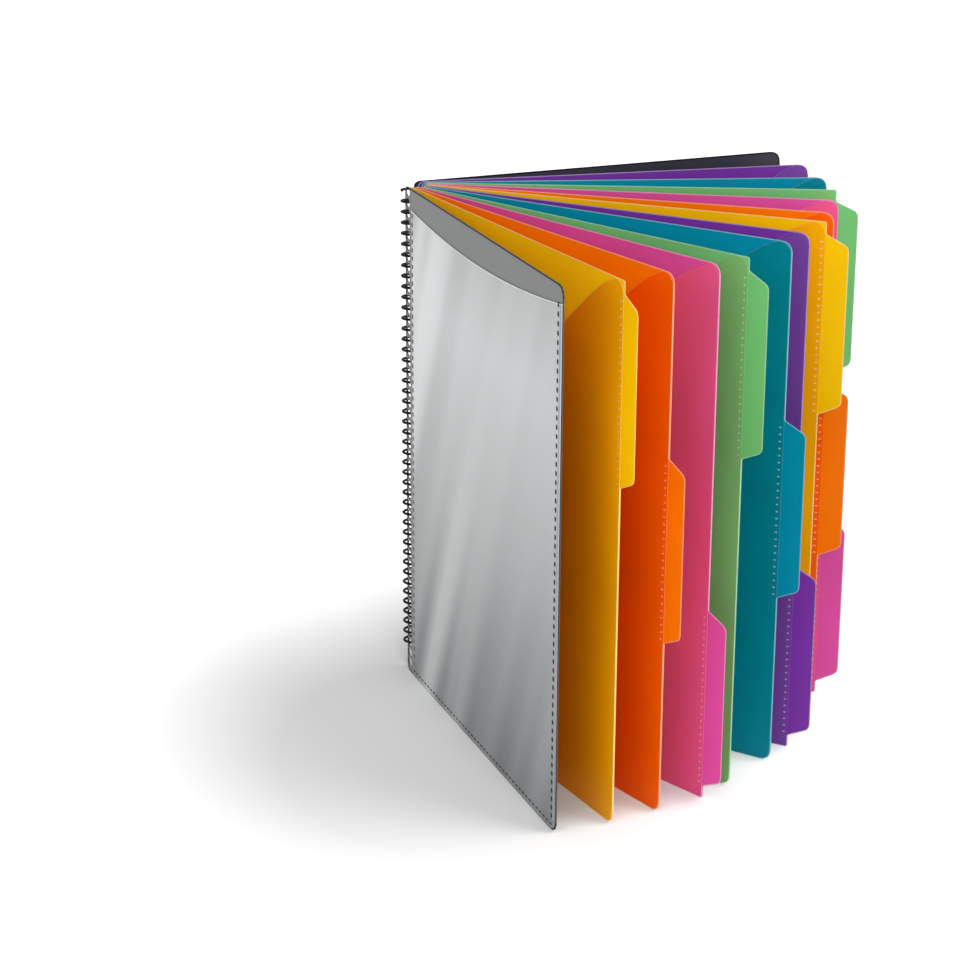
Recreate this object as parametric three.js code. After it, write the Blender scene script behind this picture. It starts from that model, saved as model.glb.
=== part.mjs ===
// Coil-bound project organizer folder: two covers and twelve tabbed pocket dividers,
// fanned open and standing on their bottom edges. Millimetres, +Z up, coil axis on Z.
import * as THREE from 'three';

// sheet sizes
const SHEET_H = 298;
const BODY_W = 234.5;
const CORNER_R = 7;
const SMALL_R = 1.5;
const INNER_R = 4;
const CORNER_STEPS = 4;
const CUT_STEPS = 16;

// tabs, one on each divider, in this many places down the outer edge
const TAB_PLACES = 3;
const TAB_DEPTH = 12.8;
const TAB_BASE = 102;
const TAB_RUN = 6;
const TAB_MARGIN = 7;
const TAB_R = 5;

// thicknesses and clearances
const COVER_T = 0.6;
const SHEET_T = 0.3;
const POCKET_T = 0.25;
const PLY_GAP = 0.25;
const LEAF_GAP = 0.3;

// pocket outlines: drops are from the top of the sheet, the bends are shares of the cut's reach
const POCKET_INSET = 0.3;
const POCKET_SPINE = 10;
const SLASH_DROP = 148;
const SLASH_FLAT = 0.1;
const SLASH_BEND = 0.5;
const SLASH_FALL = 0.68;
const FILM_SPINE = 11;
const FILM_SPINE_DROP = 12;
const FILM_MID_DROP = 18;
const FILM_OUTER_DROP = 9;

// coil and punched holes
const PITCH = 6.2865;
const COIL_R = 8.9;
const WIRE_R = 0.8;
const EMPTY_HOLES = 2;
const RING_STEPS = 12;
const ARC_DIVISIONS = 8;
const TOP_RING_DROP = 3.5;
const COIL_START = -194;
const COIL_END = -340;
const HOLE_W = 4.1;
const COVER_HOLE_W = 5.8;
const HOLE_H = 5;
const HOLE_EDGE = 4.4;
const HOLE_TOP = 0.3;
const HOLE_LOW = 4.1;

// turning about the coil, in degrees
const HALF_TURN = 180;
const FULL_TURN = 2 * HALF_TURN;
const ROOT_PLAY = 5;
const LEAF_OPEN = 15;
const COVER_OPEN = 45;
const MIDDLE = 7;

// leaf 0 is the front cover, 1 to 12 are dividers, 13 is the back cover
const ANGLES = [
  -70.5, -62.9, -56.1, -49, -44, -34.4, -29.3,
  -22.7, -17.8, -10.7, -4.7, 2.7, 11, 20,
];

const HUES = [
  { name: 'yellow', sheet: '#efb806', pocket: '#dda400' },
  { name: 'orange', sheet: '#f57408', pocket: '#e86000' },
  { name: 'pink', sheet: '#cf4c98', pocket: '#c0407e' },
  { name: 'green', sheet: '#76b878', pocket: '#68a566' },
  { name: 'teal', sheet: '#0592a6', pocket: '#047e90' },
  { name: 'purple', sheet: '#6c3294', pocket: '#5c2a84' },
];

const rad = (deg) => (deg * Math.PI) / HALF_TURN;
const TAB_STEP = (SHEET_H - 2 * TAB_MARGIN - TAB_BASE) / (TAB_PLACES - 1);
const RINGS = Math.floor(SHEET_H / PITCH) - EMPTY_HOLES;
const COIL_SWEEP = COIL_END + RINGS * FULL_TURN - COIL_START;
const DIVIDERS = ANGLES.length - 2;
const PLIES = SHEET_T + PLY_GAP + POCKET_T;
const STACK_STEP = PLIES + LEAF_GAP;
const STACK = COVER_T + LEAF_GAP + DIVIDERS * STACK_STEP + COVER_T;
const isCover = (leaf) => leaf === 0 || leaf === DIVIDERS + 1;
const tabPlace = (leaf) => (leaf - 1) % TAB_PLACES;

// height of the coil's centre line after this much clockwise turning, from its first leftmost point
const coilHeight = (turn) => SHEET_H - TOP_RING_DROP - (PITCH * (turn + HALF_TURN)) / FULL_TURN;

// distance of a leaf's sheet from the coil axis, to the middle of its thickness
function sheetOffset(leaf) {
  if (isCover(leaf)) {
    return ((STACK - COVER_T) / 2) * (leaf === 0 ? -1 : 1);
  }
  return -STACK / 2 + COVER_T + leaf * STACK_STEP - SHEET_T / 2;
}

// how far along the leaf the coil runs through it: the middle of the stretch that the wire takes up
function holeAlong(leaf) {
  const mean = COIL_R * (1 + Math.cos(Math.PI / RING_STEPS)) / 2;
  const offset = Math.abs(sheetOffset(leaf));
  const half = (isCover(leaf) ? COVER_T : SHEET_T) / 2;
  const near = Math.sqrt((mean - WIRE_R) ** 2 - (offset + half) ** 2);
  const far = Math.sqrt((mean + WIRE_R) ** 2 - (offset - half) ** 2);
  return (near + far) / 2;
}

const innerEdge = (leaf) => holeAlong(leaf) - HOLE_EDGE;

// a leaf's two limits of turning about the coil, as angles
function turning(leaf) {
  const steps = Math.abs(leaf - MIDDLE);
  const open = isCover(leaf) ? (steps - 1) * LEAF_OPEN + COVER_OPEN : steps * LEAF_OPEN;
  const away = leaf < MIDDLE ? -1 : 1;
  const shut = ANGLES[MIDDLE] - away * ROOT_PLAY;
  return [shut, ANGLES[MIDDLE] + away * (ROOT_PLAY + open)];
}

// height of the top hole: where the coil passes at the middle of the leaf's turning
function topHole(leaf) {
  const [shut, open] = turning(leaf);
  const around = Math.asin(sheetOffset(leaf) / COIL_R) * (HALF_TURN / Math.PI);
  const highest = coilHeight(-(shut + open) / 2 - around - FULL_TURN);
  const fits = highest + HOLE_H / 2 + HOLE_TOP < SHEET_H;
  return fits ? highest : highest - PITCH;
}

function holes(leaf, sides) {
  const out = [];
  const x = holeAlong(leaf);
  const wide = isCover(leaf) ? COVER_HOLE_W : HOLE_W;
  for (let z = topHole(leaf); z > HOLE_LOW; z -= PITCH) {
    const hole = new THREE.Path();
    for (let i = 0; i < sides; i += 1) {
      const a = (2 * Math.PI * (i + 0.5)) / sides;
      const grow = 1 / Math.cos(Math.PI / sides);
      const px = x + (wide / 2) * grow * Math.cos(a);
      const pz = z + (HOLE_H / 2) * grow * Math.sin(a);
      if (i === 0) {
        hole.moveTo(px, pz);
      } else {
        hole.lineTo(px, pz);
      }
    }
    hole.closePath();
    out.push(hole);
  }
  return out;
}

// a closed outline through corner points [x, z, radius]
function rounded(points) {
  const shape = new THREE.Shape();
  const corners = points.map(([x, z]) => new THREE.Vector2(x, z));
  corners.forEach((at, i) => {
    const before = corners[(i + corners.length - 1) % corners.length];
    const after = corners[(i + 1) % corners.length];
    const r = points[i][2];
    const inward = before.clone().sub(at).normalize();
    const onward = after.clone().sub(at).normalize();
    const half = Math.acos(THREE.MathUtils.clamp(inward.dot(onward), -1, 1)) / 2;
    const reach = r / Math.tan(half);
    const from = at.clone().addScaledVector(inward, reach);
    const to = at.clone().addScaledVector(onward, reach);
    if (i === 0) {
      shape.moveTo(from.x, from.y);
    } else {
      shape.lineTo(from.x, from.y);
    }
    for (let k = 1; k <= CORNER_STEPS; k += 1) {
      const t = k / CORNER_STEPS;
      const p = from.clone().multiplyScalar((1 - t) ** 2);
      p.addScaledVector(at, 2 * t * (1 - t));
      p.addScaledVector(to, t ** 2);
      shape.lineTo(p.x, p.y);
    }
  });
  shape.closePath();
  return shape;
}

// a flat sheet from an outline in leaf length and height, its middle at this offset
function plate(shape, thick, offset) {
  const body = new THREE.ExtrudeGeometry(shape, { depth: thick, bevelEnabled: false });
  body.rotateX(Math.PI / 2);
  body.translate(0, offset + thick / 2, 0);
  return body;
}

function mesh(name, geometry, color, roughness, metalness) {
  const material = new THREE.MeshStandardMaterial({ color, roughness, metalness });
  const out = new THREE.Mesh(geometry, material);
  out.name = name;
  return out;
}

function coverShape(leaf) {
  const x0 = innerEdge(leaf);
  const x1 = x0 + BODY_W;
  const shape = rounded([
    [x0, 0, INNER_R],
    [x1, 0, CORNER_R],
    [x1, SHEET_H, CORNER_R],
    [x0, SHEET_H, INNER_R],
  ]);
  shape.holes = holes(leaf, 8);
  return shape;
}

// a divider's sheet with its tab
function dividerShape(leaf) {
  const place = tabPlace(leaf);
  const x0 = innerEdge(leaf);
  const x1 = x0 + BODY_W;
  const high = SHEET_H - TAB_MARGIN - place * TAB_STEP;
  const low = high - TAB_BASE;
  const shape = rounded([
    [x0, 0, INNER_R],
    [x1, 0, place === TAB_PLACES - 1 ? SMALL_R : CORNER_R],
    [x1, low, SMALL_R],
    [x1 + TAB_DEPTH, low + TAB_RUN, TAB_R],
    [x1 + TAB_DEPTH, high - TAB_RUN, TAB_R],
    [x1, high, SMALL_R],
    [x1, SHEET_H, place === 0 ? SMALL_R : CORNER_R],
    [x0, SHEET_H, INNER_R],
  ]);
  shape.holes = holes(leaf, 4);
  return shape;
}

// a pocket's outline: square at the spine, round at the outer corners, its top cut by a curve
function pocketShape(x0, x1, radii, cut) {
  const [low, high] = radii;
  const top = cut.getPoint(0).y;
  const shape = new THREE.Shape();
  shape.moveTo(x0, POCKET_INSET);
  for (let k = 0; k <= CORNER_STEPS; k += 1) {
    const a = (k / CORNER_STEPS) * (Math.PI / 2);
    shape.lineTo(x1 - low + low * Math.sin(a), POCKET_INSET + low - low * Math.cos(a));
  }
  for (let k = 0; k < CORNER_STEPS && high > 0; k += 1) {
    const a = (k / CORNER_STEPS) * (Math.PI / 2);
    shape.lineTo(x1 - high + high * Math.cos(a), top - high + high * Math.sin(a));
  }
  cut.getSpacedPoints(CUT_STEPS).forEach((p) => shape.lineTo(p.x, p.y));
  shape.closePath();
  return shape;
}

// a divider's pocket ply: full height at the outer edge, cut on a slant to the spine
function slashPocket(leaf) {
  const x0 = innerEdge(leaf) + POCKET_SPINE;
  const x1 = innerEdge(leaf) + BODY_W - POCKET_INSET;
  const start = x1 - CORNER_R;
  const top = SHEET_H - POCKET_INSET;
  const reach = start - x0;
  const slash = new THREE.CubicBezierCurve(
    new THREE.Vector2(start, top),
    new THREE.Vector2(start - SLASH_FLAT * reach, top),
    new THREE.Vector2(start - SLASH_BEND * reach, SHEET_H - SLASH_FALL * SLASH_DROP),
    new THREE.Vector2(x0, SHEET_H - SLASH_DROP),
  );
  const square = tabPlace(leaf) === TAB_PLACES - 1;
  return pocketShape(x0, x1, [square ? SMALL_R : CORNER_R, CORNER_R], slash);
}

// the clear pocket on the front cover, its top edge a shallow scoop
function filmPocket() {
  const x0 = innerEdge(0) + FILM_SPINE;
  const x1 = innerEdge(0) + BODY_W - POCKET_INSET;
  const bend = 2 * FILM_MID_DROP - (FILM_OUTER_DROP + FILM_SPINE_DROP) / 2;
  const scoop = new THREE.QuadraticBezierCurve(
    new THREE.Vector2(x1, SHEET_H - FILM_OUTER_DROP),
    new THREE.Vector2((x0 + x1) / 2, SHEET_H - bend),
    new THREE.Vector2(x0, SHEET_H - FILM_SPINE_DROP),
  );
  return pocketShape(x0, x1, [CORNER_R, 0], scoop);
}

// the coil's centre line: it falls as it turns clockwise, with frames that keep one edge outward
class Coil extends THREE.Curve {
  getPoint(t, target = new THREE.Vector3()) {
    const turn = COIL_START + t * COIL_SWEEP;
    const x = COIL_R * Math.cos(rad(turn));
    const y = -COIL_R * Math.sin(rad(turn));
    return target.set(x, y, coilHeight(turn));
  }

  computeFrenetFrames(segments) {
    const tangents = [];
    const normals = [];
    const binormals = [];
    for (let i = 0; i <= segments; i += 1) {
      const tangent = this.getTangentAt(i / segments);
      const normal = this.getPointAt(i / segments).setZ(0).normalize();
      const across = new THREE.Vector3().crossVectors(tangent, normal).normalize();
      tangents.push(tangent);
      normals.push(normal.crossVectors(across, tangent));
      binormals.push(across);
    }
    return { tangents, normals, binormals };
  }
}

function coil() {
  const corners = [0, 1, 2, 3].map((i) => (i * Math.PI) / 2);
  const points = corners.map((a) => new THREE.Vector2(Math.cos(a), Math.sin(a)));
  const section = new THREE.Shape(points.map((p) => p.multiplyScalar(WIRE_R)));
  const path = new Coil();
  const steps = Math.round((COIL_SWEEP / FULL_TURN) * RING_STEPS);
  path.arcLengthDivisions = steps * ARC_DIVISIONS;
  return new THREE.ExtrudeGeometry(section, { steps, bevelEnabled: false, extrudePath: path });
}

function leafGroup(leaf) {
  const group = new THREE.Group();
  const offset = sheetOffset(leaf);
  const thick = isCover(leaf) ? COVER_T : SHEET_T;
  const plyOffset = offset - thick / 2 - PLY_GAP - POCKET_T / 2;
  if (leaf === 0) {
    group.add(mesh('front_cover', plate(coverShape(leaf), COVER_T, offset), '#868788', 0.45, 0));
    group.add(mesh('front_cover_pocket', plate(filmPocket(), POCKET_T, plyOffset), '#b9bcbc', 0.3, 0));
  } else if (isCover(leaf)) {
    group.add(mesh('back_cover', plate(coverShape(leaf), COVER_T, offset), '#3c3c44', 0.5, 0));
  } else {
    const hue = HUES[(leaf - 1) % HUES.length];
    const label = `divider_${String(leaf).padStart(2, '0')}_${hue.name}`;
    group.add(mesh(label, plate(dividerShape(leaf), SHEET_T, offset), hue.sheet, 0.4, 0));
    const ply = plate(slashPocket(leaf), POCKET_T, plyOffset);
    group.add(mesh(`${label}_pocket`, ply, hue.pocket, 0.4, 0));
  }
  group.rotation.z = rad(ANGLES[leaf]);
  return group;
}

const fan = new THREE.Group();
fan.add(mesh('spiral_coil', coil(), '#18181a', 0.35, 0));
for (let leaf = 0; leaf < ANGLES.length; leaf += 1) {
  fan.add(leafGroup(leaf));
}

// the middle of the standing edges' bounding box is the origin
const middle = new THREE.Box3().setFromObject(fan, true).getCenter(new THREE.Vector3());
fan.position.set(-middle.x, -middle.y, 0);
const organizer = new THREE.Group();
organizer.add(fan);

export default organizer;
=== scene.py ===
import math

import bmesh
import bpy
from mathutils import Matrix, Vector


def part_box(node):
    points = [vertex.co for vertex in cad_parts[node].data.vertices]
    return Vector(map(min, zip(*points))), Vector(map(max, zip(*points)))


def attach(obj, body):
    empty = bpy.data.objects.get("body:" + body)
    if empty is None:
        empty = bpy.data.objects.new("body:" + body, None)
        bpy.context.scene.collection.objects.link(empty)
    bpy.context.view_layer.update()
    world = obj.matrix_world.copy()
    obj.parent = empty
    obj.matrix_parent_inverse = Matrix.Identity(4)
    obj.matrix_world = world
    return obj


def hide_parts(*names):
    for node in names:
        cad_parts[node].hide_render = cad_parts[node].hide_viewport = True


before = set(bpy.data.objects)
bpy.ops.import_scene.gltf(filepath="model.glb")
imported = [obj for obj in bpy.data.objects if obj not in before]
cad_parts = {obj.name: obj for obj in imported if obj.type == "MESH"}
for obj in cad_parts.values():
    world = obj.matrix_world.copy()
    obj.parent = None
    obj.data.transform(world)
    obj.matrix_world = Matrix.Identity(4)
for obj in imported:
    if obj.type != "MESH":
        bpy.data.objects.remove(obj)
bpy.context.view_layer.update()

# sizes shared with the solids, in metres
MM = 0.001
SHEET_H = 298 * MM
BODY_W = 234.5 * MM
CORNER_R = 7 * MM
SMALL_R = 1.5 * MM
INNER_R = 4 * MM
TAB_PLACES = 3
TAB_DEPTH = 12.8 * MM
TAB_BASE = 102 * MM
TAB_RUN = 6 * MM
TAB_MARGIN = 7 * MM
TAB_R = 5 * MM
TAB_STEP = (SHEET_H - 2 * TAB_MARGIN - TAB_BASE) / (TAB_PLACES - 1)
COVER_T = 0.6 * MM
SHEET_T = 0.3 * MM
POCKET_T = 0.25 * MM
PLY_GAP = 0.25 * MM
LEAF_GAP = 0.3 * MM
POCKET_INSET = 0.3 * MM
POCKET_SPINE = 10 * MM
SLASH_DROP = 148 * MM
SLASH_FLAT = 0.1
SLASH_BEND = 0.5
SLASH_FALL = 0.68
FILM_SPINE = 11 * MM
FILM_SPINE_DROP = 12 * MM
FILM_MID_DROP = 18 * MM
FILM_OUTER_DROP = 9 * MM
HOLE_EDGE = 4.4 * MM
COIL_R = 8.9 * MM
WIRE_R = 0.8 * MM
PITCH = 6.2865 * MM
RINGS = 45
RING_STEPS = 12
TOP_RING_DROP = 3.5 * MM
HALF_TURN = 180
FULL_TURN = 360
COIL_START = -194
COIL_END = -340

# the angle of each leaf, in degrees, from the front cover to the back cover
ANGLES = [-70.5, -62.9, -56.1, -49, -44, -34.4, -29.3,
          -22.7, -17.8, -10.7, -4.7, 2.7, 11, 20]
FRONT = 0
BACK = len(ANGLES) - 1
DIVIDERS = range(FRONT + 1, BACK)
HUES = ["yellow", "orange", "pink", "green", "teal", "purple"]

STACK_STEP = SHEET_T + PLY_GAP + POCKET_T + LEAF_GAP
STACK = 2 * COVER_T + LEAF_GAP + len(DIVIDERS) * STACK_STEP

# sizes of the trim that only the look has; some of it is painted highlight and painted shade
PROUD = 0.03 * MM
SET_BACK = 0.04 * MM
RIM = 0.5 * MM
LIP = 0.3 * MM
COVER_RIM = 0.8 * MM
# painted shade: width and inset of the dark strip beside a cover's holes
PAINTED_SPINE_SHADE = 1.3 * MM
PAINTED_SPINE_SHADE_IN = 0.1 * MM
WELD_IN = 2.3 * MM
WELD_UP = 2 * MM
WELD_STEP = 4 * MM
WELD_LONG = 1.5 * MM
WELD_WIDE = 0.9 * MM
STITCH_IN = 4.7 * MM
STITCH_SPINE = 2 * MM
STITCH_UP = 3.5 * MM
STITCH_STEP = 4.9 * MM
STITCH_LONG = 3 * MM
STITCH_WIDE = 2.3 * MM
STITCH_END = 1 * MM
STITCH_SINK = 0.02 * MM
FOOT_STITCH_WIDE = 1.1 * MM
MOUTH_EDGE = 0.6 * MM
OUTER_FLAT = 1.7 * MM
OUTER_FLAT_IN = 1.2 * MM
OUTER_FLAT_DROP = 0.7 * MM
SPINE_FLAT = 0.8 * MM
SPINE_FLAT_IN = 0.9 * MM
SPINE_FLAT_DROP = 0.9 * MM
SPINE_FLAT_UP = 1 * MM
PILL_SIDES = 10
WIRE_SHARE = 0.98
WIRE_STEP = 15

low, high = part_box("spiral_coil")
AXIS = Vector(((low[0] + high[0]) / 2, (low[1] + high[1]) / 2, 0))


def srgb(r, g, b):
    def one(v):
        v /= 255
        return v / 12.92 if v <= 0.04045 else ((v + 0.055) / 1.055) ** 2.4
    return (one(r), one(g), one(b), 1)


def shade(color, k):
    return tuple(min(1, c * k) for c in color[:3]) + (1,)


def toward(color, other, k):
    return tuple(a + (b - a) * k for a, b in zip(color[:3], other[:3])) + (1,)


WHITE = (1, 1, 1, 1)
GREY = srgb(120, 121, 122)
CHARCOAL = srgb(50, 50, 58)
SHEETS = {
    "yellow": srgb(255, 220, 0), "orange": srgb(255, 150, 0), "pink": srgb(236, 108, 194),
    "green": srgb(142, 220, 146), "teal": srgb(0, 172, 202), "purple": srgb(152, 72, 192),
}
POCKETS = {
    "yellow": srgb(255, 208, 0), "orange": srgb(255, 128, 0), "pink": srgb(246, 118, 182),
    "green": srgb(158, 220, 142), "teal": srgb(0, 164, 186), "purple": srgb(154, 90, 194),
}
# painted shade: a pocket's tint turns deeper and darker towards the coil, where the wedge between the
# leaves is in shade
PAINTED_WEDGE_SHADE = {"yellow": srgb(255, 76, 0), "orange": srgb(255, 4, 0), "pink": srgb(255, 124, 84)}


def is_cover(leaf):
    return leaf in (FRONT, BACK)


def thickness(leaf):
    return COVER_T if is_cover(leaf) else SHEET_T


def offset(leaf):
    """Distance of the middle of a leaf's sheet from the coil's axis."""
    if is_cover(leaf):
        return (STACK - COVER_T) / 2 * (-1 if leaf == FRONT else 1)
    return -STACK / 2 + COVER_T + leaf * STACK_STEP - SHEET_T / 2


def front_of(leaf):
    """The front face of a leaf's pocket ply."""
    return offset(leaf) - thickness(leaf) / 2 - PLY_GAP - POCKET_T


def inner(leaf):
    """Where a leaf's sheet begins, past the coil's axis."""
    mean = COIL_R * (1 + math.cos(math.pi / RING_STEPS)) / 2
    away, half = abs(offset(leaf)), thickness(leaf) / 2
    near = math.sqrt((mean - WIRE_R) ** 2 - (away + half) ** 2)
    far = math.sqrt((mean + WIRE_R) ** 2 - (away - half) ** 2)
    return (near + far) / 2 - HOLE_EDGE


def outer(leaf):
    """Where the body of a leaf's sheet ends, beside its tab."""
    return inner(leaf) + BODY_W


def body_name(leaf):
    return {FRONT: "front_cover", BACK: "back_cover"}.get(leaf, "divider_%02d" % leaf)


def hue_of(leaf):
    return HUES[(leaf - 1) % len(HUES)]


def tab_place(leaf):
    return (leaf - 1) % TAB_PLACES


def tab_span(leaf):
    """The heights of a tab's foot and top."""
    top = SHEET_H - TAB_MARGIN - tab_place(leaf) * TAB_STEP
    return top - TAB_BASE, top


def at(leaf, s, n, z):
    """A point of a leaf: along it, out of it towards the back, and up."""
    a = math.radians(ANGLES[leaf])
    x = s * math.cos(a) - n * math.sin(a)
    y = s * math.sin(a) + n * math.cos(a)
    return AXIS + Vector((x, y, z))


class Nodes:
    """A material's node tree, with short calls to add and join nodes."""

    def __init__(self, name):
        self.mat = bpy.data.materials.new(name)
        self.mat.use_nodes = True
        self.tree = self.mat.node_tree
        self.tree.nodes.clear()
        self.out = self.add("ShaderNodeOutputMaterial")

    def add(self, kind, **values):
        node = self.tree.nodes.new(kind)
        for key, value in values.items():
            setattr(node, key, value)
        return node

    def link(self, a, b):
        self.tree.links.new(a, b)

    def give(self, value, socket):
        """A number or colour goes on the socket itself, and anything else is linked to it."""
        if isinstance(value, (int, float, tuple)):
            socket.default_value = value
        else:
            self.link(value, socket)

    def coords(self):
        return self.add("ShaderNodeTexCoord").outputs["Object"]

    def noise(self, coords, scale, detail):
        node = self.add("ShaderNodeTexNoise")
        node.inputs["Scale"].default_value = scale
        node.inputs["Detail"].default_value = detail
        self.link(coords, node.inputs["Vector"])
        return node.outputs["Fac"]

    def ramp(self, value, stops):
        node = self.add("ShaderNodeValToRGB")
        ramp = node.color_ramp
        while len(ramp.elements) < len(stops):
            ramp.elements.new(0.5)
        for element, (place, color) in zip(ramp.elements, stops):
            element.position = place
            element.color = color
        self.link(value, node.inputs["Fac"])
        return node.outputs["Color"]

    def span(self, value, low_in, high_in, low_out, high_out, soft=False):
        """One range of numbers turned into another."""
        node = self.add("ShaderNodeMapRange")
        node.interpolation_type = "SMOOTHSTEP" if soft else "LINEAR"
        for key, v in zip(("From Min", "From Max", "To Min", "To Max"),
                          (low_in, high_in, low_out, high_out)):
            node.inputs[key].default_value = v
        self.link(value, node.inputs["Value"])
        return node.outputs["Result"]

    def calc(self, kind, *values):
        node = self.add("ShaderNodeMath", operation=kind)
        for value, socket in zip(values, node.inputs):
            self.give(value, socket)
        return node.outputs[0]

    def vector(self, kind, a, b):
        node = self.add("ShaderNodeVectorMath", operation=kind)
        self.link(a, node.inputs[0])
        node.inputs[1].default_value = b
        return node.outputs["Value" if kind in ("DOT_PRODUCT", "DISTANCE") else "Vector"]

    def mix(self, fac, a, b):
        node = self.add("ShaderNodeMix", data_type="RGBA")
        for value, socket in ((fac, node.inputs[0]), (a, node.inputs[6]), (b, node.inputs[7])):
            self.give(value, socket)
        return node.outputs[2]

    def bump(self, height, strength, distance):
        node = self.add("ShaderNodeBump")
        node.inputs["Strength"].default_value = strength
        node.inputs["Distance"].default_value = distance
        self.link(height, node.inputs["Height"])
        return node.outputs["Normal"]

    def along(self, leaf):
        """How far a point is along a leaf, from the coil's axis."""
        a = math.radians(ANGLES[leaf])
        moved = self.vector("SUBTRACT", self.coords(), AXIS)
        return self.vector("DOT_PRODUCT", moved, (math.cos(a), math.sin(a), 0))

    def facing(self, leaf):
        """1 on a leaf's flat faces and 0 on its cut edges."""
        a = math.radians(ANGLES[leaf])
        normal = self.add("ShaderNodeTexCoord").outputs["Normal"]
        return self.calc("ABSOLUTE", self.vector("DOT_PRODUCT", normal, (-math.sin(a), math.cos(a), 0)))

    def height(self):
        split = self.add("ShaderNodeSeparateXYZ")
        self.link(self.coords(), split.inputs[0])
        return split.outputs["Z"]

    def shader(self, kind, **sockets):
        """A shader node with the values of its named sockets."""
        node = self.add(kind)
        for key, value in sockets.items():
            self.give(value, node.inputs[key.replace("_", " ")])
        return node.outputs[0]

    def blend(self, fac, a, b):
        node = self.add("ShaderNodeMixShader")
        for value, socket in zip((fac, a, b), node.inputs):
            self.give(value, socket)
        return node.outputs[0]

    def finish(self, surface):
        self.link(surface, self.out.inputs["Surface"])
        return self.mat


def plastic(m, tone, rough, normal, spec, through):
    """A plastic skin that lets a share of the light through."""
    skin = m.shader("ShaderNodeBsdfPrincipled", Base_Color=tone, Roughness=rough, Normal=normal,
                    Specular_IOR_Level=spec)
    if through:
        skin = m.blend(through, skin, m.shader("ShaderNodeBsdfTranslucent", Color=tone))
    return m.finish(skin)


def poly(name, color, leaf, edge, through=0.55, rough=0.36, wedge_shade=None):
    """Satin plastic sheet with faint clouds; its cut edges take a tint of their own, on the dividers a
    paler painted glow of the light in the translucent edges, and a pocket may take painted shade towards
    the coil.
    """
    m = Nodes(name)
    co = m.coords()
    cloud = m.noise(co, 9, 4)
    tone = m.ramp(cloud, [(0.3, shade(color, 0.94)), (0.7, shade(color, 1.05))])
    # painted shade: the pocket darkens towards the coil, for the shade inside the wedge between leaves
    if wedge_shade:
        tone = m.mix(m.span(m.along(leaf), 0.1, 0.235, 1, 0), tone, wedge_shade)
    # the cut edges take the edge colour: on the dividers this is a painted highlight, paler than the sheet
    tint = m.mix(m.span(m.facing(leaf), 0.6, 0.4, 0, 1), tone, edge)
    grain = m.bump(m.noise(co, 2600, 2), 0.03, 0.0001)
    gloss = m.span(cloud, 0.3, 0.7, rough - 0.05, rough + 0.07)
    return plastic(m, tint, gloss, grain, 0.22, through)


def simple(name, color, rough, scale, vary=0.1, spec=0.5, through=0.0):
    """Plain plastic with a little grain."""
    m = Nodes(name)
    spread = m.noise(m.coords(), scale, 3)
    tone = m.ramp(spread, [(0.3, shade(color, 1 - vary)), (0.7, shade(color, 1 + vary))])
    gloss = m.span(spread, 0.3, 0.7, rough - 0.04, rough + 0.06)
    return plastic(m, tone, gloss, m.bump(spread, 0.1, 0.0001), spec, through)


def frosted(name):
    """Clear frosted film. Painted highlight: soft slanting paler streaks near the coil. Painted reflection:
    paler towards the top and darker towards the bottom.
    """
    m = Nodes(name)
    place = m.add("ShaderNodeCombineXYZ")
    m.link(m.calc("MULTIPLY_ADD", m.height(), -0.42, m.along(FRONT)), place.inputs["X"])
    m.link(m.height(), place.inputs["Z"])
    highlight_streaks = m.noise(m.vector("MULTIPLY", place.outputs[0], (42, 42, 2.4)), 1, 0)
    # painted highlight: paler streaks near the coil
    near = m.calc("MULTIPLY", m.span(highlight_streaks, 0.25, 0.75, 0, 1, True),
                  m.span(m.along(FRONT), 0.02, 0.15, 0.9, 0.2, True))
    # the film's grey tone with painted reflection: darker towards the bottom and paler towards the top, for
    # the floor's shadow and the bright studio that it mirrors
    tone_and_painted_reflection = m.ramp(m.span(m.height(), 0, SHEET_H, 0, 1), [
        (0.0, srgb(122, 124, 127)), (0.45, srgb(174, 177, 178)),
        (0.8, srgb(194, 197, 198)), (1.0, srgb(166, 168, 169))])
    skin = m.shader("ShaderNodeBsdfPrincipled", Base_Color=m.mix(near, tone_and_painted_reflection, srgb(226, 229, 229)),
                    Roughness=m.span(highlight_streaks, 0.25, 0.75, 0.28, 0.34, True))
    # more of the pale skin towards the top, part of the same painted reflection
    cover = m.span(m.height(), 0.02, 0.75 * SHEET_H, 0.6, 0.9)
    return m.finish(m.blend(cover, m.shader("ShaderNodeBsdfTransparent"), skin))


def put(node, material):
    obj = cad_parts[node]
    obj.data.materials.clear()
    obj.data.materials.append(material)


def show(name, data):
    obj = bpy.data.objects.new(name, data)
    bpy.context.scene.collection.objects.link(obj)
    return obj


def to_mesh(name, bm):
    mesh = bpy.data.meshes.new(name)
    bm.to_mesh(mesh)
    bm.free()
    return mesh


def piece(name, bm, material, body):
    bmesh.ops.recalc_face_normals(bm, faces=bm.faces[:])
    mesh = to_mesh(name, bm)
    mesh.materials.append(material)
    obj = show(name, mesh)
    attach(obj, body)


def bezier(points, steps):
    """A smooth line through a chain of control points."""
    out = []
    for i in range(steps + 1):
        chain = [Vector(p) for p in points]
        while len(chain) > 1:
            chain = [a.lerp(b, i / steps) for a, b in zip(chain, chain[1:])]
        out.append(chain[0])
    return out


def rounded(corners, steps=6):
    """An outline from its corners, each with the radius that rounds it."""
    out = []
    for i, (s, z, r) in enumerate(corners):
        point = Vector((s, z))
        inward = (Vector(corners[i - 1][:2]) - point).normalized()
        onward = (Vector(corners[(i + 1) % len(corners)][:2]) - point).normalized()
        reach = r / math.tan(inward.angle(onward) / 2)
        out += bezier([point + inward * reach, point, point + onward * reach], steps)
    return out


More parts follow.
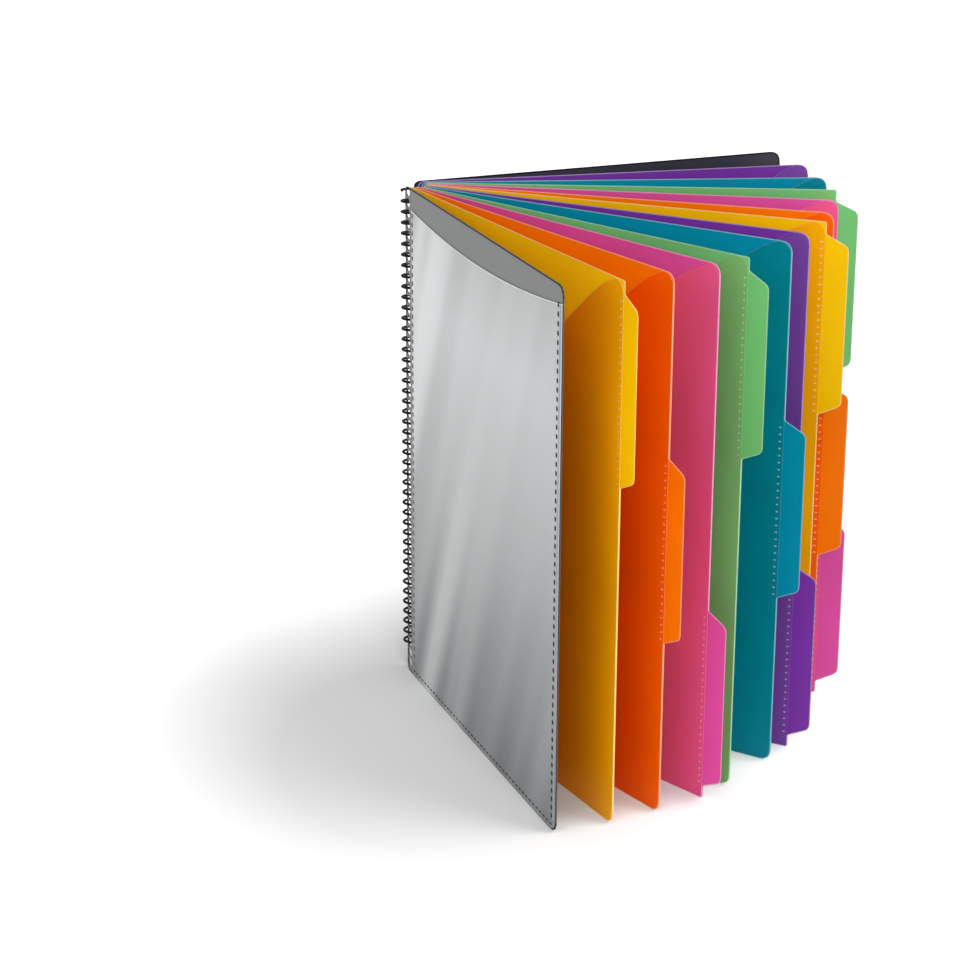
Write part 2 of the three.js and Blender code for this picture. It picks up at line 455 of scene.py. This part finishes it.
def sheet_outline(leaf):
    x0, x1 = inner(leaf), outer(leaf)
    if is_cover(leaf):
        return rounded([(x0, 0, INNER_R), (x1, 0, CORNER_R),
                        (x1, SHEET_H, CORNER_R), (x0, SHEET_H, INNER_R)])
    foot, top = tab_span(leaf)
    return rounded([
        (x0, 0, INNER_R),
        (x1, 0, SMALL_R if tab_place(leaf) == TAB_PLACES - 1 else CORNER_R),
        (x1, foot, SMALL_R),
        (x1 + TAB_DEPTH, foot + TAB_RUN, TAB_R),
        (x1 + TAB_DEPTH, top - TAB_RUN, TAB_R),
        (x1, top, SMALL_R),
        (x1, SHEET_H, SMALL_R if tab_place(leaf) == 0 else CORNER_R),
        (x0, SHEET_H, INNER_R),
    ])


def inset(points, d, closed=True):
    """The same line moved to its left by a small distance."""
    out = []
    last = len(points) - 1
    for i, p in enumerate(points):
        a = points[i - 1] if closed or i > 0 else p
        b = points[(i + 1) % len(points)] if closed or i < last else p
        way = (b - a).normalized()
        out.append(p + Vector((-way.y, way.x)) * d)
    return out


def band(bm, leaf, line, start, end, front, back, closed=False):
    """A thin solid strip beside a line of a leaf, front and back its distances out of it."""
    rows = []
    for p, q in zip(inset(line, start, closed), inset(line, end, closed)):
        n = front(p) if callable(front) else front
        corners = ((p, n), (q, n), (q, back), (p, back))
        rows.append([bm.verts.new(at(leaf, spot.x, out, spot.y)) for spot, out in corners])
    for i in range(len(rows) if closed else len(rows) - 1):
        a, b = rows[i], rows[(i + 1) % len(rows)]
        for k in range(4):
            bm.faces.new((a[k], a[(k + 1) % 4], b[(k + 1) % 4], b[k]))
    if not closed:
        bm.faces.new(rows[0])
        bm.faces.new(rows[-1][::-1])


def pill(bm, leaf, s, z, long, wide, upright, front, back):
    """A small flat mark with round ends, lying along the height or along the leaf."""
    ring = []
    for k in range(PILL_SIDES):
        a = 2 * math.pi * (k + 0.5) / PILL_SIDES
        shift = (long - wide) / 2 * (1 if math.cos(a) > 0 else -1)
        u, v = shift + wide / 2 * math.cos(a), wide / 2 * math.sin(a)
        ring.append((s + v, z + u) if upright else (s + u, z + v))
    fronts = [bm.verts.new(at(leaf, p, front, q)) for p, q in ring]
    backs = [bm.verts.new(at(leaf, p, back, q)) for p, q in ring]
    bm.faces.new(fronts)
    bm.faces.new(backs[::-1])
    for k in range(PILL_SIDES):
        j = (k + 1) % PILL_SIDES
        bm.faces.new((fronts[k], fronts[j], backs[j], backs[k]))


def divider_rim(leaf, material):
    """A strip along the cut and welded edge all round a divider, paler than the sheet: painted highlight of
    the glow in the translucent edge.
    """
    foot, top = tab_span(leaf)

    def front(p):
        """The rim reaches over the pocket ply where the two plies are welded."""
        beside = outer(leaf) - MM < p.x < outer(leaf) + 0.1 * MM
        side_weld = beside and p.y < SHEET_H - TAB_MARGIN and not foot < p.y < top
        foot_weld = p.y < MM and p.x > inner(leaf) + POCKET_SPINE
        welded = side_weld or foot_weld
        return (front_of(leaf) if welded else offset(leaf) - SHEET_T / 2) - PROUD

    bm = bmesh.new()
    band(bm, leaf, sheet_outline(leaf), SET_BACK, RIM, front, offset(leaf) + SHEET_T / 2 + PROUD, True)
    piece("divider_%02d_rim" % leaf, bm, material, body_name(leaf))


def pocket_lip(leaf, material):
    """A faint paler strip along the pocket's slanted mouth: painted highlight of the light in its cut edge.
    """
    x0 = inner(leaf) + POCKET_SPINE
    x1 = outer(leaf) - POCKET_INSET - CORNER_R
    top = SHEET_H - POCKET_INSET
    mouth = bezier([
        (x1, top),
        (x1 - SLASH_FLAT * (x1 - x0), top),
        (x1 - SLASH_BEND * (x1 - x0), SHEET_H - SLASH_FALL * SLASH_DROP),
        (x0, SHEET_H - SLASH_DROP),
    ], 48)
    bm = bmesh.new()
    band(bm, leaf, mouth, SET_BACK, LIP, front_of(leaf) - PROUD, front_of(leaf) + POCKET_T)
    piece("divider_%02d_pocket_lip" % leaf, bm, material, body_name(leaf))


def weld_marks(leaf, material):
    """The row of small welds that closes the pocket beside the tab, seen on both faces."""
    foot, top = tab_span(leaf)
    bm = bmesh.new()
    for i in range(int((top - foot) / WELD_STEP)):
        pill(bm, leaf, outer(leaf) - WELD_IN, foot + WELD_UP + i * WELD_STEP, WELD_LONG, WELD_WIDE,
             False, front_of(leaf) - PROUD, offset(leaf) + SHEET_T / 2 + PROUD)
    piece("divider_%02d_welds" % leaf, bm, material, body_name(leaf))


def dividers():
    for leaf in DIVIDERS:
        hue = hue_of(leaf)
        node = "divider_%02d_%s" % (leaf, hue)
        # painted highlight: the dividers' cut edges are tinted paler, for the light that glows in them
        pale = toward(SHEETS[hue], WHITE, 0.3)
        put(node, poly(node + "_mat", SHEETS[hue], leaf, pale))
        # the pocket ply takes the painted shade towards the coil for the hues that have it
        put(node + "_pocket", poly(node + "_pocket_mat", POCKETS[hue], leaf, pale, wedge_shade=PAINTED_WEDGE_SHADE.get(hue)))
    for hue in HUES:
        # painted highlights: the rims and the pocket lips are paler than the sheets, for the light that
        # glows in cut edges
        rim_glow = simple(hue + "_rim_glow_mat", toward(SHEETS[hue], WHITE, 0.33), 0.3, 500, 0.06, through=0.4)
        lip = simple(hue + "_lip_mat", toward(POCKETS[hue], WHITE, 0.1), 0.3, 500, 0.06, through=0.4)
        weld = simple(hue + "_weld_mat", toward(POCKETS[hue], WHITE, 0.35), 0.3, 500, 0.06, through=0.3)
        for leaf in DIVIDERS:
            if hue_of(leaf) == hue:
                divider_rim(leaf, rim_glow)
                pocket_lip(leaf, lip)
                weld_marks(leaf, weld)


def cover_rim_and_spine_shade(leaf, name, color):
    """A dark band along the cut edge all round a cover, and a wider dark strip beside its holes: painted
    shade for the shadow of the coil's wire.
    """
    half = COVER_T / 2 + PROUD
    x = inner(leaf) + PAINTED_SPINE_SHADE_IN
    bm = bmesh.new()
    band(bm, leaf, sheet_outline(leaf), SET_BACK, COVER_RIM, offset(leaf) - half, offset(leaf) + half, True)
    # painted shade: the dark strip beside the holes
    band(bm, leaf, [Vector((x, SHEET_H - INNER_R)), Vector((x, INNER_R))], 0, PAINTED_SPINE_SHADE,
         offset(leaf) - half - PROUD, offset(leaf) + half + PROUD)
    piece(name, bm, simple(name + "_mat", color, 0.5, 600, spec=0.1), body_name(leaf))


def stitches(x0, x1):
    """Weld dashes along the three closed sides of the clear pocket, paler beside the coil."""
    front, back = front_of(FRONT) - PROUD, front_of(FRONT) + STITCH_SINK
    dark, pale = bmesh.new(), bmesh.new()
    z = STITCH_UP + STITCH_STEP
    while z < SHEET_H - FILM_OUTER_DROP - STITCH_END:
        pill(dark, FRONT, x1 - STITCH_IN, z, STITCH_LONG, STITCH_WIDE, True, front, back)
        if z < SHEET_H - FILM_SPINE_DROP - STITCH_END:
            pill(pale, FRONT, x0 + STITCH_SPINE, z, STITCH_LONG, STITCH_WIDE, True, front, back)
        z += STITCH_STEP
    s = x0 + STITCH_SPINE
    while s < x1 - STITCH_IN:
        pill(dark, FRONT, s, STITCH_UP, STITCH_LONG, FOOT_STITCH_WIDE, False, front, back)
        s += STITCH_STEP
    piece("front_pocket_stitches", dark, simple("stitch_mat", srgb(18, 20, 28), 0.5, 900, spec=0.1),
          "front_cover")
    piece("front_pocket_spine_stitches", pale,
          simple("spine_stitch_mat", srgb(88, 90, 94), 0.5, 900, spec=0.1), "front_cover")


def film_edges(x0, x1):
    """A nearly white strip along the film's cut mouth, painted highlight of its edge, and the pressed flats
    beside the stitches.
    """
    front, back = front_of(FRONT) - PROUD, front_of(FRONT) + POCKET_T
    bend = 2 * FILM_MID_DROP - (FILM_OUTER_DROP + FILM_SPINE_DROP) / 2
    mouth = bezier([(x1, SHEET_H - FILM_OUTER_DROP), ((x0 + x1) / 2, SHEET_H - bend),
                    (x0, SHEET_H - FILM_SPINE_DROP)], 40)
    light, flats = bmesh.new(), bmesh.new()
    # painted highlight: the nearly white strip along the film's mouth
    band(light, FRONT, mouth, SET_BACK, MOUTH_EDGE, front, back)
    sides = (
        (x1 - OUTER_FLAT_IN, CORNER_R, SHEET_H - FILM_OUTER_DROP - OUTER_FLAT_DROP, OUTER_FLAT),
        (x0 + SPINE_FLAT_IN, SPINE_FLAT_UP, SHEET_H - FILM_SPINE_DROP - SPINE_FLAT_DROP, SPINE_FLAT),
    )
    for x, foot, top, wide in sides:
        band(flats, FRONT, [Vector((x, foot)), Vector((x, top))], 0, wide, front, back)
    piece("front_pocket_edge", light,
          simple("film_edge_highlight_mat", srgb(226, 227, 227), 0.25, 700, 0.05, through=0.2),
          "front_cover")
    piece("front_pocket_flats", flats, simple("film_flats_mat", srgb(138, 140, 142), 0.35, 700, 0.06),
          "front_cover")


def covers():
    put("front_cover", poly("front_cover_mat", GREY, FRONT, shade(GREY, 0.35), 0.0, 0.45))
    put("back_cover", poly("back_cover_mat", CHARCOAL, BACK, shade(CHARCOAL, 0.5), 0.02, 0.42))
    put("front_cover_pocket", frosted("front_pocket_mat"))
    film = (inner(FRONT) + FILM_SPINE, outer(FRONT) - POCKET_INSET)
    stitches(*film)
    film_edges(*film)
    cover_rim_and_spine_shade(FRONT, "front_cover_rim_and_spine_shade", srgb(24, 25, 27))
    cover_rim_and_spine_shade(BACK, "back_cover_rim_and_spine_shade", srgb(18, 18, 22))


def coil_wire():
    """Round black plastic wire in place of the coil's faceted solid."""
    curve = bpy.data.curves.new("coil_wire", "CURVE")
    curve.dimensions = "3D"
    curve.bevel_depth = WIRE_R * WIRE_SHARE
    curve.bevel_resolution = 3
    curve.use_fill_caps = True
    sweep = COIL_END + RINGS * FULL_TURN - COIL_START
    count = int(sweep / WIRE_STEP) + 1
    line = curve.splines.new("POLY")
    line.points.add(count - 1)
    for i, point in enumerate(line.points):
        turn = COIL_START + sweep * i / (count - 1)
        a = math.radians(turn)
        z = SHEET_H - TOP_RING_DROP - PITCH * (turn + HALF_TURN) / FULL_TURN
        spot = AXIS + Vector((COIL_R * math.cos(a), -COIL_R * math.sin(a), z))
        point.co = (*spot, 1)
    curve.materials.append(simple("coil_mat", srgb(9, 9, 10), 0.42, 900, spec=0.12))
    wire = show("coil_wire", curve)
    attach(wire, "coil")
    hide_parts("spiral_coil")


def camera():
    """The camera of the photograph, from a fit to the corners of the sheets."""
    place = AXIS + Vector((0, -1.48261, 0.6381))
    yaw, down, roll = 0.02658, 0.33847, 0.00475
    focal_px, photo_px = 2653.6, 970
    forward = Vector((math.sin(yaw) * math.cos(down), math.cos(yaw) * math.cos(down), -math.sin(down)))
    right = Vector((math.cos(yaw), -math.sin(yaw), 0))
    up = right.cross(forward)
    right, up = (right * math.cos(roll) + up * math.sin(roll),
                 up * math.cos(roll) - right * math.sin(roll))
    data = bpy.data.cameras.new("camera")
    data.sensor_width = 36
    data.lens = data.sensor_width * focal_px / photo_px
    data.clip_end = 60
    obj = show("camera", data)
    turned = Matrix((right, up, -forward)).transposed()
    obj.matrix_world = Matrix.Translation(place) @ turned.to_4x4()
    bpy.context.scene.camera = obj


def floor():
    """A pale floor. For the camera it adds a painted glow that grows with distance from a point beside the
    folder, so the floor turns white there and the folder's shadow ends inside a painted oval.
    """
    bm = bmesh.new()
    bmesh.ops.create_grid(bm, x_segments=1, y_segments=1, size=9)
    mesh = to_mesh("floor", bm)
    m = Nodes("floor_mat")
    squeezed = m.vector("MULTIPLY", m.coords(), (1, 0.75, 1))
    # painted light: an emission seen by the camera that grows with distance from a point beside the folder
    away = m.vector("DISTANCE", squeezed, (-0.11, -0.0375, 0))
    both = m.add("ShaderNodeAddShader")
    m.link(m.shader("ShaderNodeBsdfDiffuse", Color=(0.71, 0.71, 0.71, 1)), both.inputs[0])
    m.link(m.shader("ShaderNodeEmission", Color=WHITE, Strength=m.span(away, 0.09, 0.23, 0, 0.42)),
           both.inputs[1])
    matte = m.shader("ShaderNodeBsdfDiffuse", Color=(0.84, 0.84, 0.84, 1))
    seen = m.add("ShaderNodeLightPath").outputs["Is Camera Ray"]
    mesh.materials.append(m.finish(m.blend(seen, matte, both.outputs[0])))
    show("floor", mesh)


def lamp(name, kind, place, target, size, power):
    data = bpy.data.lights.new(name, kind)
    data.energy = power
    if kind == "SUN":
        data.angle = size
    else:
        data.shape = "DISK"
        data.size = size
    obj = show(name, data)
    obj.location = place
    obj.rotation_euler = (Vector(target) - Vector(place)).to_track_quat("-Z", "Y").to_euler()


def studio():
    world = bpy.data.worlds.new("studio")
    bpy.context.scene.world = world
    world.use_nodes = True
    sky = world.node_tree.nodes["Background"]
    sky.inputs["Color"].default_value = WHITE
    sky.inputs["Strength"].default_value = 0.5
    middle = (0, 0, 0.15)
    lamp("key", "SUN", (1.7, -0.3, 2.5), (0, 0, 0), 0.6, 1.7)
    lamp("top", "SUN", (-0.6, -1.1, 2.4), (0, 0, 0), 0.6, 0.7)
    lamp("front", "AREA", (0.5, -2.6, 1.2), middle, 1.5, 40)
    lamp("side", "AREA", (-2.0, -1.2, 1.3), middle, 1.4, 6)
    bpy.context.scene.view_settings.view_transform = "Standard"


dividers()
covers()
coil_wire()
camera()
floor()
studio()
